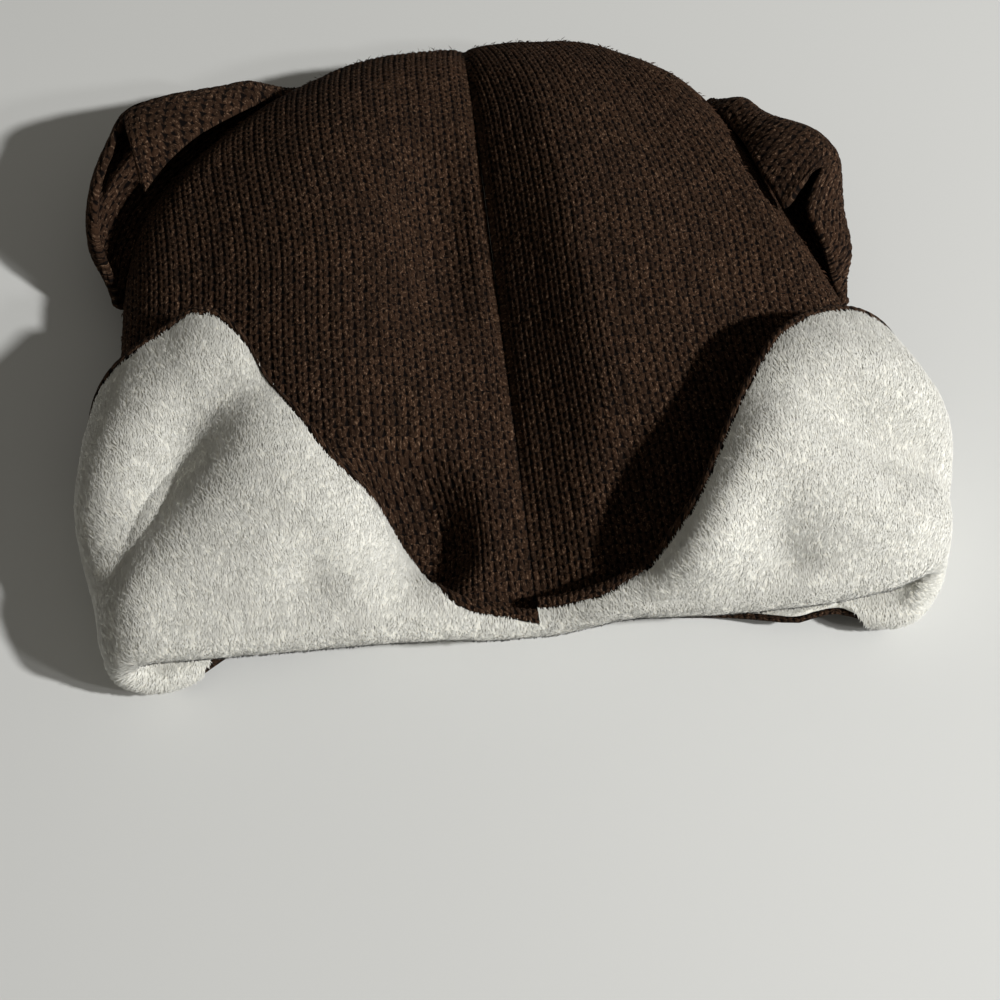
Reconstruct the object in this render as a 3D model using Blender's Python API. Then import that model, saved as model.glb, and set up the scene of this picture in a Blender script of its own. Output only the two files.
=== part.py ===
"""Baby hat with ears: a knitted crown in two halves, lined with fleece, lying on its face.

The hat lies with its back up, its mouth towards -Y and its crown towards +Y. The ear flaps and
the brim are turned up, so that they show the fleece. Metres, +Z up, and the origin is on the
surface that the hat lies on, under the middle of it.

Every cloth layer follows one path: down the crown from the top to the mouth, round the turn of
the brim, and back up over the outside of the crown as a flap. A layer is two copies of that
surface, a cloth's thickness apart.
"""

import math

import bpy
import numpy as np

# Driving sizes of the crown as it lies
CROWN_LENGTH = 0.166
HALF_WIDTH_LEFT = 0.0935
HALF_WIDTH_RIGHT = 0.090
CROWN_HEIGHT = 0.036

# Cloth
KNIT = 0.0015
FLEECE = 0.0016
LAYER_GAP = 0.0003
SEAM_GAP = 0.0003

# Turned-up brim and ear flaps
FOLD_RADIUS = 0.0006
FLAP_LEFT = 0.0770
FLAP_RIGHT = 0.0580
KNIT_BORDER = 0.0030
BORDER_RISE = 0.0010
FRONT_HEM = 0.0050
FRONT_BORDER = 0.0010
MOUTH_REACH = 0.0080

# Groove that the centre seam pulls into the back
GROOVE_DEPTH = 0.0036
GROOVE_WIDTH = 0.0060

# Ears
EAR_REACH_LEFT = 0.0200
EAR_REACH_RIGHT = 0.0125
EAR_RISE = 0.0165
EAR_THICKNESS = 0.0028
EAR_CLEARANCE = 0.0005

# How the crown's section is shaped, as shares: where up its side stands out most, how long the
# rounding of the side is against its height, and where the ridge and the side's heel lie across
# each half. The mouth's own line blends into the crown over the last share of its length.
SIDE_HEIGHT = 0.48
ROUNDING = 1.25
RIDGE_LEFT = 0.42
RIDGE_RIGHT = 0.25
HEEL_FROM = 0.35
HEEL_TO = 0.75
MOUTH_BLEND = 0.35

# Sections of the crown from the mouth to the top. Along is a share of the length, the halves of
# their widths and the heights of the crown's height. The seam and the ridges beside it are the
# back's height, the fall is how much lower the back is at the side than at the ridge, and the
# heel is the room that the turned flap takes under each side.
CROWN_COLUMNS = ("along", "left", "right", "seam", "ridge_left", "ridge_right", "fall", "floor",
                 "groove", "heel")
CROWN_TABLE = (
    (0.000, 1.020, 1.025, 0.31, 0.47, 0.50, -0.10, 0.000, 0.00, 1.00),
    (0.130, 1.020, 1.030, 0.46, 0.65, 0.73, 0.08, 0.000, 0.30, 1.00),
    (0.265, 1.014, 1.006, 0.59, 0.80, 0.88, 0.22, 0.000, 0.70, 0.80),
    (0.400, 1.010, 0.980, 0.68, 0.91, 0.99, 0.30, 0.000, 1.00, 0.40),
    (0.520, 1.006, 0.922, 0.74, 0.94, 1.02, 0.30, 0.000, 1.00, 0.00),
    (0.630, 0.985, 0.844, 0.79, 0.95, 1.03, 0.30, 0.000, 1.00, 0.00),
    (0.725, 0.924, 0.778, 0.82, 0.95, 1.02, 0.30, 0.000, 1.00, 0.00),
    (0.810, 0.810, 0.717, 0.83, 0.92, 0.97, 0.28, 0.000, 1.00, 0.00),
    (0.885, 0.655, 0.644, 0.80, 0.85, 0.89, 0.25, 0.014, 0.90, 0.00),
    (0.945, 0.495, 0.517, 0.71, 0.72, 0.75, 0.20, 0.083, 0.60, 0.00),
    (0.985, 0.300, 0.333, 0.57, 0.57, 0.58, 0.10, 0.210, 0.30, 0.00),
    (1.000, 0.000, 0.000, 0.39, 0.39, 0.39, 0.00, 0.390, 0.00, 0.00),
)

# The turned-up edge, from the centre back (0) round the side (0.5) to the centre front (1).
# The lengths past the fold are shares of the flap's length. The stands and domes are shares of the
# crown's height: how far the edge and the middle of the flap stand off the crown. The mouth is how
# far its line is pushed out towards -Y, as a share of the mouth's reach.
FLAP_COLUMNS = ("around", "length_left", "length_right", "stand_left", "stand_right",
                "dome_left", "dome_right", "mouth_left", "mouth_right")
FLAP_TABLE = (
    (0.000, -0.015, 0.030, 0.00, 0.00, 0.00, 0.00, 0.00, 0.00),
    (0.035, -0.010, 0.025, 0.00, 0.00, 0.00, 0.00, 0.00, 0.00),
    (0.070, 0.010, 0.045, 0.01, 0.02, 0.00, 0.00, 0.00, 0.05),
    (0.105, 0.180, 0.110, 0.06, 0.10, 0.02, 0.02, 0.00, 0.15),
    (0.135, 0.350, 0.260, 0.09, 0.24, 0.06, 0.06, 0.00, 0.25),
    (0.165, 0.510, 0.470, 0.10, 0.30, 0.09, 0.10, 0.00, 0.30),
    (0.200, 0.690, 0.710, 0.10, 0.32, 0.12, 0.15, 0.00, 0.35),
    (0.235, 0.860, 0.870, 0.10, 0.31, 0.14, 0.20, 0.00, 0.35),
    (0.270, 0.985, 0.945, 0.10, 0.29, 0.14, 0.23, 0.00, 0.30),
    (0.300, 1.000, 0.980, 0.10, 0.26, 0.13, 0.24, 0.00, 0.25),
    (0.350, 0.940, 1.000, 0.10, 0.20, 0.12, 0.22, 0.00, 0.10),
    (0.410, 0.850, 0.950, 0.10, 0.14, 0.12, 0.17, 0.00, -0.25),
    (0.460, 0.750, 0.840, 0.09, 0.10, 0.11, 0.13, 0.00, -0.45),
    (0.500, 0.640, 0.700, 0.05, 0.05, 0.07, 0.07, 0.00, -0.45),
    (0.560, 0.420, 0.440, 0.00, 0.00, 0.00, 0.00, 0.15, 0.00),
    (0.600, 0.220, 0.230, 0.00, 0.00, 0.00, 0.00, 0.20, 0.40),
    (0.640, 0.010, 0.012, 0.00, 0.00, 0.00, 0.00, 0.15, 0.55),
    (0.690, 0.010, 0.012, 0.00, 0.00, 0.00, 0.00, -0.10, 0.45),
    (0.760, 0.010, 0.012, 0.00, 0.00, 0.00, 0.00, -0.60, 0.00),
    (0.850, 0.010, 0.012, 0.00, 0.00, 0.00, 0.00, -1.00, -0.75),
    (1.000, 0.010, 0.012, 0.00, 0.00, 0.00, 0.00, -1.00, -1.00),
)

# The front of the mouth isn't turned: the turn dies away between these shares of the way round,
# and then the hem grows to its full depth
TURN_FULL = 0.640
TURN_GONE = 0.720
HEM_FULL = 0.780

# Dents of the flaps and of the crown. Out and up are the dent's middle: on a flap as shares of the
# way round and of its length, on the crown of the half's width and of its length. Run is its
# direction from level, in degrees; long, wide and deep are shares of the crown's height.
DENT_COLUMNS = ("side", "out", "up", "run", "long", "wide", "deep")
FLAP_DENTS = (
    (-1, 0.275, 0.38, 45.0, 0.95, 0.22, 0.17),
    (-1, 0.175, 0.16, 80.0, 0.35, 0.18, 0.08),
    (1, 0.300, 0.40, 35.0, 0.55, 0.26, 0.15),
    (1, 0.205, 0.17, 70.0, 0.40, 0.18, 0.09),
)
CROWN_DENTS = (
    (-1, 0.225, 0.12, 75.0, 0.38, 0.22, 0.27),
    (-1, 0.130, 0.50, 80.0, 0.70, 0.24, 0.05),
    (1, 0.260, 0.13, 100.0, 0.44, 0.22, 0.14),
)

# Where the surfaces are cut into faces
COLUMNS = (0.0, 0.035, 0.075, 0.115, 0.155, 0.195, 0.235, 0.275, 0.315, 0.355, 0.395, 0.43, 0.465,
           0.5, 0.535, 0.57, 0.605, 0.638, 0.66, 0.68, 0.70, 0.722, 0.75, 0.79, 0.86, 0.93, 1.0)
CROWN_STEPS = (0.895, 0.85, 0.79, 0.72, 0.64, 0.545, 0.455, 0.364, 0.273, 0.182, 0.091, 0.0)
TURN_STEPS = 3
FLAP_STEPS = 6
TURN_LIMIT = 0.85

# Ears: where their roots lie on the side of the crown, from the crown's end to the mouth's end
EAR_ROOT = 0.515
EAR_ROOT_LEFT = (0.810, 0.400)
EAR_ROOT_RIGHT = (0.690, 0.325)

# Sections of an ear along its root. Reach and rise are shares of the ear's own sizes.
EAR_COLUMNS = ("along", "reach_left", "reach_right", "rise_left", "rise_right")
EAR_TABLE = (
    (0.00, 0.28, 0.40, 0.42, 0.42),
    (0.12, 0.40, 0.43, 0.52, 0.50),
    (0.28, 0.66, 0.52, 0.76, 0.68),
    (0.38, 0.90, 0.74, 0.92, 0.87),
    (0.46, 1.08, 0.96, 0.99, 0.98),
    (0.54, 0.99, 1.03, 1.00, 1.00),
    (0.66, 0.84, 0.98, 0.95, 0.97),
    (0.80, 0.60, 0.76, 0.80, 0.83),
    (0.92, 0.36, 0.50, 0.58, 0.60),
    (1.00, 0.25, 0.42, 0.42, 0.45),
)
# The ear's profile out from its root and up to its rim, and back from there as the lapel that
# is folded over. Both are shares of the reach and the rise.
EAR_CUP = ((0.00, 0.00), (0.34, -0.03), (0.70, 0.12), (0.95, 0.42), (1.00, 0.74), (0.88, 0.98))
EAR_LAPEL = ((0.66, 1.07), (0.40, 1.08), (0.14, 0.98))
LAPEL_END = 0.56
EAR_SECTIONS = (0.0, 0.09, 0.18, 0.28, 0.38, 0.47, 0.56, 0.66, 0.76, 0.86, 0.94, 1.0)

# What the pieces are made of: colour, roughness
KNIT_COLOUR = (0.055, 0.030, 0.020, 1.0)
FLEECE_COLOUR = (0.78, 0.77, 0.70, 1.0)
CLOTH_ROUGHNESS = 0.9


def column(table, names, name):
    """One named column of a table, as an array."""
    return np.array([row[names.index(name)] for row in table], float)


def smooth_curve(knots, values, at, end_slope=None):
    """A smooth curve through the values at rising knots, read at any places between them."""
    steps = np.diff(knots)
    slopes = np.diff(values) / steps
    tangents = np.empty_like(values)
    tangents[1:-1] = (slopes[1:] * steps[:-1] + slopes[:-1] * steps[1:]) / (steps[1:] + steps[:-1])
    tangents[0] = slopes[0]
    tangents[-1] = slopes[-1] if end_slope is None else end_slope
    at = np.clip(at, knots[0], knots[-1])
    i = np.clip(np.searchsorted(knots, at, side="right") - 1, 0, len(steps) - 1)
    h = steps[i]
    t = (at - knots[i]) / h
    return (
        (2 * t**3 - 3 * t**2 + 1) * values[i]
        + (t**3 - 2 * t**2 + t) * h * tangents[i]
        + (3 * t**2 - 2 * t**3) * values[i + 1]
        + (t**3 - t**2) * h * tangents[i + 1]
    )


def ease(share):
    """0 to 1 with level ends."""
    share = np.clip(share, 0.0, 1.0)
    return share * share * (3 - 2 * share)


def crown_column(name, up):
    """A column of the crown's table at shares up of the way from the mouth to the top."""
    knots = np.linspace(0.0, 1.0, len(CROWN_TABLE))
    end_slope = 0.0 if name == "along" else None
    return smooth_curve(knots, column(CROWN_TABLE, CROWN_COLUMNS, name), up, end_slope)


def flap_column(name, around):
    """A column of the flap's table at shares of the way round the mouth."""
    knots = column(FLAP_TABLE, FLAP_COLUMNS, "around")
    return smooth_curve(knots, column(FLAP_TABLE, FLAP_COLUMNS, name), around)


def cloth_stack():
    """Thickness of knit and fleece together, with the gap between them."""
    return KNIT + LAYER_GAP + FLEECE


def dents(table, side, out, up, width, length):
    """How deep the dents are at places given as shares of a width and a length."""
    depth = np.zeros_like(out + up)
    for row in table:
        dent = dict(zip(DENT_COLUMNS, row))
        if dent["side"] != side:
            continue
        off, rise = (out - dent["out"]) * width, (up - dent["up"]) * length
        turn = math.radians(dent["run"])
        lengthways = (off * math.cos(turn) - rise * math.sin(turn)) / (dent["long"] * CROWN_HEIGHT)
        crossways = (off * math.sin(turn) + rise * math.cos(turn)) / (dent["wide"] * CROWN_HEIGHT)
        depth += dent["deep"] * CROWN_HEIGHT * np.exp(-lengthways**2 - crossways**2)
    return depth


def crown_point(side, around, up):
    """The crown's outside. Side is -1 or 1; around runs from the centre back (0) to the centre
    front (1); up runs from the mouth (0) to the top (1)."""
    around, up = np.broadcast_arrays(np.asarray(around, float), np.asarray(up, float))
    half = (HALF_WIDTH_LEFT if side < 0 else HALF_WIDTH_RIGHT) * crown_column(
        "left" if side < 0 else "right", up
    )
    ridge_at = RIDGE_LEFT if side < 0 else RIDGE_RIGHT
    across = np.sin(math.pi * around)
    floor = CROWN_HEIGHT * crown_column("floor", up)
    seam = CROWN_HEIGHT * crown_column("seam", up)
    ridge = CROWN_HEIGHT * crown_column("ridge_left" if side < 0 else "ridge_right", up)
    groove = GROOVE_DEPTH * crown_column("groove", up) * np.exp(-across * half / GROOVE_WIDTH)
    fall = (ridge - floor) * crown_column("fall", up)
    top = seam + (ridge - seam) * ease(across / ridge_at) - groove
    top = top - fall * ease((across - ridge_at) / (1 - ridge_at))
    heel = (2 * FOLD_RADIUS + cloth_stack() + BORDER_RISE) * crown_column("heel", up)
    side_height = ridge - fall - floor - heel
    middle = floor + heel + SIDE_HEIGHT * side_height
    bottom = floor + heel * ease((across - HEEL_FROM) / (HEEL_TO - HEEL_FROM))
    rounding = np.maximum(ROUNDING * side_height / 2, 1e-6)
    into = np.clip(1 - half * (1 - across) / rounding, 0, 1)
    cap = np.sqrt(1 - into**2)
    height = middle + np.where(around <= 0.5, top - middle, bottom - middle) * cap
    along = crown_column("along", up)
    dent = dents(CROWN_DENTS, side, across, along, half, CROWN_LENGTH)
    height = height - np.where(around <= 0.5, dent, 0.0)
    reach = MOUTH_REACH * flap_column("mouth_left" if side < 0 else "mouth_right", around)
    ahead = reach * (1 - ease(along / MOUTH_BLEND))
    x = side * (SEAM_GAP / 2 + half * across)
    return np.stack([x, CROWN_LENGTH * along - ahead, height], axis=-1)


def unit(vectors):
    return vectors / np.maximum(np.linalg.norm(vectors, axis=-1, keepdims=True), 1e-12)


def crown_frame(side, around, up):
    """Point, outward normal and the direction to the top. On the seam both directions keep to
    the seam's plane, so that the halves end flat against each other."""
    step = 2e-3
    here = crown_point(side, around, up)
    low, high = np.clip(around - step, 0, 1), np.clip(around + step, 0, 1)
    below, above = np.clip(up - step, 0, 1), np.clip(up + step, 0, 1)
    round_it = crown_point(side, high, up) - crown_point(side, low, up)
    to_top = crown_point(side, around, above) - crown_point(side, around, below)
    normal = np.cross(to_top, round_it) * -side
    on_seam = (np.asarray(around) < step) | (np.asarray(around) > 1 - step)
    keep = np.where(on_seam, 0.0, 1.0)
    normal = normal * np.stack([keep, np.ones_like(keep), np.ones_like(keep)], axis=-1)
    return here, unit(normal), unit(to_top)


def up_at(distance):
    """The share of the way up at a distance along the hat from the mouth."""
    shares = np.linspace(0.0, 1.0, 400)
    return np.interp(distance, CROWN_LENGTH * crown_column("along", shares), shares)


def front_share(around):
    """0 where the edge is turned, 1 at the front, where it isn't."""
    return ease((np.asarray(around) - TURN_FULL) / (TURN_GONE - TURN_FULL))


def flap_length(side, around):
    """The cloth past the fold: brim and flap where it is turned, hem at the front."""
    size = FLAP_LEFT if side < 0 else FLAP_RIGHT
    turned = size * flap_column("length_left" if side < 0 else "length_right", around)
    hem = ease((np.asarray(around) - TURN_GONE) / (HEM_FULL - TURN_GONE))
    return turned + (FRONT_HEM - turned) * hem


def turn_radius():
    return FOLD_RADIUS + cloth_stack() / 2


def turn_angle(around):
    """How far the edge is turned: half a turn at the flaps, none at the front."""
    return math.pi * (1 - front_share(around))


def stand_off(side, around, along, length):
    """How far the flap stands off the crown, past the fold's own gap."""
    share = np.clip(along / length, 0, 1.2)
    stand = CROWN_HEIGHT * flap_column("stand_left" if side < 0 else "stand_right", around)
    dome = CROWN_HEIGHT * flap_column("dome_left" if side < 0 else "dome_right", around)
    lift = stand * ease(share * 1.3) + dome * 4 * share * (1 - share)
    girth = math.pi * (HALF_WIDTH_LEFT + HALF_WIDTH_RIGHT) / 3
    size = FLAP_LEFT if side < 0 else FLAP_RIGHT
    dent = dents(FLAP_DENTS, side, around, along / size, girth, size)
    return np.maximum(lift - dent * ease(lift / (0.12 * CROWN_HEIGHT)), 0.0)


def turned_surface(side, around, path):
    """The knit's outside past the mouth line, at a distance along the cloth from there."""
    angle = turn_angle(around)
    arc = turn_radius() * angle
    phi = np.minimum(path / turn_radius(), angle)
    past = np.maximum(path - arc, 0.0)
    back_share = -np.cos(angle)
    followed = past * back_share
    here, normal, to_top = crown_frame(side, around, up_at(np.maximum(followed, 0.0)))
    here = here + to_top * np.minimum(followed, 0.0)[..., None]
    length = np.maximum(flap_length(side, around), 1e-4)
    stand = stand_off(side, around, past, length) * np.clip(back_share, 0, 1)
    out = FOLD_RADIUS * (1 - np.cos(phi)) + stand + past * np.sin(angle)
    return here + normal * out[..., None] - to_top * (FOLD_RADIUS * np.sin(phi))[..., None]


def turned_point(side, around, path, depth, rise=0.0):
    """A point past the mouth line, at a depth from the knit's outside towards the fleece."""
    step = 4e-4
    depth = depth + rise * np.ones_like(around)
    here = turned_surface(side, around, path)
    low, high = np.clip(around - step, 0, 1), np.clip(around + step, 0, 1)
    round_it = turned_surface(side, high, path) - turned_surface(side, low, path)
    onward = turned_surface(side, around, path + step) - turned_surface(side, around, path - step)
    normal = np.cross(onward, round_it) * side
    on_seam = (around < step) | (around > 1 - step)
    normal[..., 0] = np.where(on_seam, 0.0, normal[..., 0])
    return here - unit(normal) * depth[..., None]


def cloth_rows(side, depth, border):
    """Rows of points of one face of a cloth layer, from the crown's top to the turned edge."""
    around = np.array(COLUMNS)
    rows = []
    for up in CROWN_STEPS:
        here, normal, _ = crown_frame(side, around, np.full_like(around, up))
        rows.append(here - normal * depth)
    arc = turn_radius() * turn_angle(around)
    total = arc + flap_length(side, around)
    turned = np.minimum(arc + front_share(around) * FRONT_HEM / 2, total * TURN_LIMIT)
    for i in range(1, TURN_STEPS + 1):
        rows.append(turned_point(side, around, turned * i / TURN_STEPS, depth))
    for i in range(1, FLAP_STEPS + 1):
        rows.append(turned_point(side, around, turned + (total - turned) * i / FLAP_STEPS, depth))
    if border:
        turned = 1 - front_share(around)
        width = FRONT_BORDER + (KNIT_BORDER - FRONT_BORDER) * turned
        rows.append(turned_point(side, around, total + 2 * LAYER_GAP, depth))
        rows.append(turned_point(side, around, total + width, depth, BORDER_RISE * turned))
    return np.array(rows)


def top_point(side, depth):
    """Where all the crown's lines meet at the top."""
    x, y, z = crown_point(side, 0.0, 1.0)
    return np.array([x, y - depth, z])


def mesh_object(name, points, faces, material):
    mesh = bpy.data.meshes.new(name)
    mesh.from_pydata([tuple(p) for p in points], [], faces)
    mesh.validate()
    mesh.materials.append(material)
    obj = bpy.data.objects.new(name, mesh)
    bpy.context.scene.collection.objects.link(obj)
    mesh.shade_smooth()
    mesh.set_sharp_from_angle(angle=math.radians(50))
    return obj


def cloth_half(name, side, shallow, deep, border, material):
    """One half of a cloth layer as a closed solid: two faces and the rim between them."""
    faces_of = [cloth_rows(side, depth, border) for depth in (shallow, deep)]
    n_rows, n_columns = faces_of[0].shape[:2]
    ends = [[top_point(side, depth)] for depth in (shallow, deep)]
    points = np.concatenate([f.reshape(-1, 3) for f in faces_of] + ends)
    second = n_rows * n_columns
    tops = (2 * second, 2 * second + 1)

    def at(face, row, col):
        return face * second + row * n_columns + col

    faces = []
    for face in (0, 1):
        flip = (face == 1) != (side < 0)
        for col in range(n_columns - 1):
            triangles = [(tops[face], at(face, 0, col), at(face, 0, col + 1))]
            for row in range(n_rows - 1):
                start, end = at(face, row, col), at(face, row + 1, col + 1)
                triangles += [(start, at(face, row + 1, col), end), (start, end, at(face, row, col + 1))]
            faces += [tuple(reversed(t)) if flip else t for t in triangles]
    last = n_columns - 1
    rim = [tops[0]] + [at(0, row, 0) for row in range(n_rows)]
    rim += [at(0, n_rows - 1, col) for col in range(1, n_columns)]
    rim += [at(0, row, last) for row in range(n_rows - 2, -1, -1)]
    other = [tops[1] if i == tops[0] else i + second for i in rim]
    for i in range(len(rim)):
        j = (i + 1) % len(rim)
        quad = (rim[j], rim[i], other[i], other[j])
        faces.append(tuple(reversed(quad)) if side < 0 else quad)
    return mesh_object(name, points, faces, material)


def ear(name, side, material):
    """One ear: a double layer of knit sewn along the side of the crown, cupped, with the end
    nearer the top folded over as a lapel."""
    top_end, mouth_end = EAR_ROOT_LEFT if side < 0 else EAR_ROOT_RIGHT
    reach = EAR_REACH_LEFT if side < 0 else EAR_REACH_RIGHT
    word = "left" if side < 0 else "right"
    knots = column(EAR_TABLE, EAR_COLUMNS, "along")
    points, rows = [], []
    for along in EAR_SECTIONS:
        up = np.array([top_end + (mouth_end - top_end) * along])
        here, normal, _ = crown_frame(side, np.array([EAR_ROOT]), up)
        out = normal[0] * np.array([1, 1, 0])
        out = out / np.linalg.norm(out)
        far = reach * smooth_curve(knots, column(EAR_TABLE, EAR_COLUMNS, f"reach_{word}"), along)
        high = EAR_RISE * smooth_curve(knots, column(EAR_TABLE, EAR_COLUMNS, f"rise_{word}"), along)
        profile = EAR_CUP + (EAR_LAPEL if along <= LAPEL_END else ())
        row = []
        for share_out, share_up in profile:
            row.append(len(points))
            lifted = np.array([0, 0, high * share_up])
            points.append(here[0] + out * (EAR_CLEARANCE + far * share_out) + lifted)
        rows.append(row)
    faces = []
    for a, b in zip(rows, rows[1:]):
        for i in range(min(len(a), len(b)) - 1):
            quad = (a[i], b[i], b[i + 1], a[i + 1])
            faces.append(tuple(reversed(quad)) if side > 0 else quad)
    obj = mesh_object(name, points, faces, material)
    wall = obj.modifiers.new("two layers of knit", "SOLIDIFY")
    wall.thickness = EAR_THICKNESS
    wall.offset = 0.0
    return obj


def cloth_material(name, colour):
    material = bpy.data.materials.new(name)
    material.use_nodes = True
    shader = material.node_tree.nodes["Principled BSDF"]
    shader.inputs["Base Color"].default_value = colour
    shader.inputs["Roughness"].default_value = CLOTH_ROUGHNESS
    shader.inputs["Metallic"].default_value = 0.0
    material.diffuse_color = colour
    return material


def set_on_table(pieces):
    """Moves the hat as one so that the origin is on the table under the middle of its box."""
    bpy.context.view_layer.update()
    graph = bpy.context.evaluated_depsgraph_get()
    corners = []
    for piece in pieces:
        shown = piece.evaluated_get(graph)
        corners += [shown.matrix_world @ v.co for v in shown.data.vertices]
    corners = np.array(corners)
    low, high = corners.min(axis=0), corners.max(axis=0)
    hat = bpy.data.objects.new("hat", None)
    bpy.context.scene.collection.objects.link(hat)
    hat.location = (-(low[0] + high[0]) / 2, -(low[1] + high[1]) / 2, -low[2])
    for piece in pieces:
        piece.parent = hat


def main():
    for obj in list(bpy.data.objects):
        bpy.data.objects.remove(obj)
    brown = cloth_material("brown knit", KNIT_COLOUR)
    cream = cloth_material("cream fleece", FLEECE_COLOUR)
    lining_back = KNIT + LAYER_GAP
    pieces = []
    for side, word in ((-1, "left"), (1, "right")):
        pieces.append(cloth_half(f"knit_{word}", side, 0.0, KNIT, True, brown))
        pieces.append(cloth_half(f"lining_{word}", side, lining_back, lining_back + FLEECE, False, cream))
        pieces.append(ear(f"ear_{word}", side, brown))
    set_on_table(pieces)


main()
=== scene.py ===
"""Baby hat with ears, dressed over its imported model: knit, fleece, seams, table and light."""

import math

import bpy
import numpy as np
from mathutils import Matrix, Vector


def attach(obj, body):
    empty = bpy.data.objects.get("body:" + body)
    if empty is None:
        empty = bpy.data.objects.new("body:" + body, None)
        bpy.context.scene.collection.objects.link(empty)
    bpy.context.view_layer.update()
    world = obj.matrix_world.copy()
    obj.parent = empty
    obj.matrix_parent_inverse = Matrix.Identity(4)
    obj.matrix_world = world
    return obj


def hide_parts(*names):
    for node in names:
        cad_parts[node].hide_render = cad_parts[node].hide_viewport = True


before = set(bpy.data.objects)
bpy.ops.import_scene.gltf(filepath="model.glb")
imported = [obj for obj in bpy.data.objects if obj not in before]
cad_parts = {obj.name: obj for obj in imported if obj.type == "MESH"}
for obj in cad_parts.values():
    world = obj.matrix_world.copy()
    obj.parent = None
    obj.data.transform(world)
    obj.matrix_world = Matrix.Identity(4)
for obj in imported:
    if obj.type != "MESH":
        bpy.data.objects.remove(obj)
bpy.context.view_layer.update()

# Outer hat: two halves of a chunky stockinette knit in dark brown wool, sewn together along the
# centre back and the centre front. Each half runs down the crown, round the fold of the brim and
# up again as the outer layer of its ear flap, where the cut edge curls into a ribbed border.

# Sides of the hat, by the sign of x
WORDS = {-1: "left", 1: "right"}

# Sizes of the hat as it lies, and its cloth
CROWN_LENGTH = 0.166
HALF_WIDTH = {-1: 0.0935, 1: 0.090}
CROWN_HEIGHT = 0.036
KNIT = 0.0015
FLEECE = 0.0016
LAYER_GAP = 0.0003
SEAM_CLOSE = 0.00004
FOLD_RADIUS = 0.0006
FLAP_SIZE = {-1: 0.0770, 1: 0.0580}
KNIT_BORDER = 0.0030
BORDER_RISE = 0.0010
FRONT_HEM = 0.0050
FRONT_BORDER = 0.0010
MOUTH_REACH = 0.0080
GROOVE_DEPTH = 0.0036
GROOVE_WIDTH = 0.0036

# Shares of a section of the crown: the height of its side, how round the side is, where its ridge
# stands, and where the turned edge lifts the cloth from below. The mouth's swing fades out within
# the last's share of the length.
SIDE_HEIGHT = 0.48
ROUNDING = 1.25
RIDGE_AT = {-1: 0.42, 1: 0.27}
HEEL_FROM = 0.35
HEEL_TO = 0.75
MOUTH_BLEND = 0.35

# Sections of the crown from the mouth to the top, as shares of its sizes
CROWN_COLUMNS = ("along", "left", "right", "seam", "ridge_left", "ridge_right", "fall", "floor",
                 "groove", "heel")
CROWN_TABLE = (
    (0.000, 1.020, 1.025, 0.31, 0.47, 0.50, -0.10, 0.000, 0.00, 1.00),
    (0.130, 1.020, 1.030, 0.46, 0.65, 0.73, 0.08, 0.000, 0.30, 1.00),
    (0.265, 1.014, 1.006, 0.59, 0.80, 0.88, 0.22, 0.000, 0.70, 0.80),
    (0.400, 1.010, 0.980, 0.68, 0.91, 0.99, 0.30, 0.000, 1.00, 0.40),
    (0.520, 1.006, 0.922, 0.74, 0.94, 1.02, 0.30, 0.000, 1.00, 0.00),
    (0.630, 0.985, 0.858, 0.79, 0.95, 1.03, 0.30, 0.000, 1.00, 0.00),
    (0.725, 0.930, 0.800, 0.82, 0.95, 1.02, 0.30, 0.000, 1.00, 0.00),
    (0.810, 0.822, 0.738, 0.83, 0.92, 0.97, 0.28, 0.000, 1.00, 0.00),
    (0.885, 0.668, 0.658, 0.80, 0.85, 0.89, 0.25, 0.014, 0.90, 0.00),
    (0.945, 0.495, 0.517, 0.71, 0.72, 0.75, 0.20, 0.083, 0.60, 0.00),
    (0.985, 0.300, 0.333, 0.57, 0.57, 0.58, 0.10, 0.210, 0.30, 0.00),
    (1.000, 0.000, 0.000, 0.39, 0.39, 0.39, 0.00, 0.390, 0.00, 0.00),
)

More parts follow.
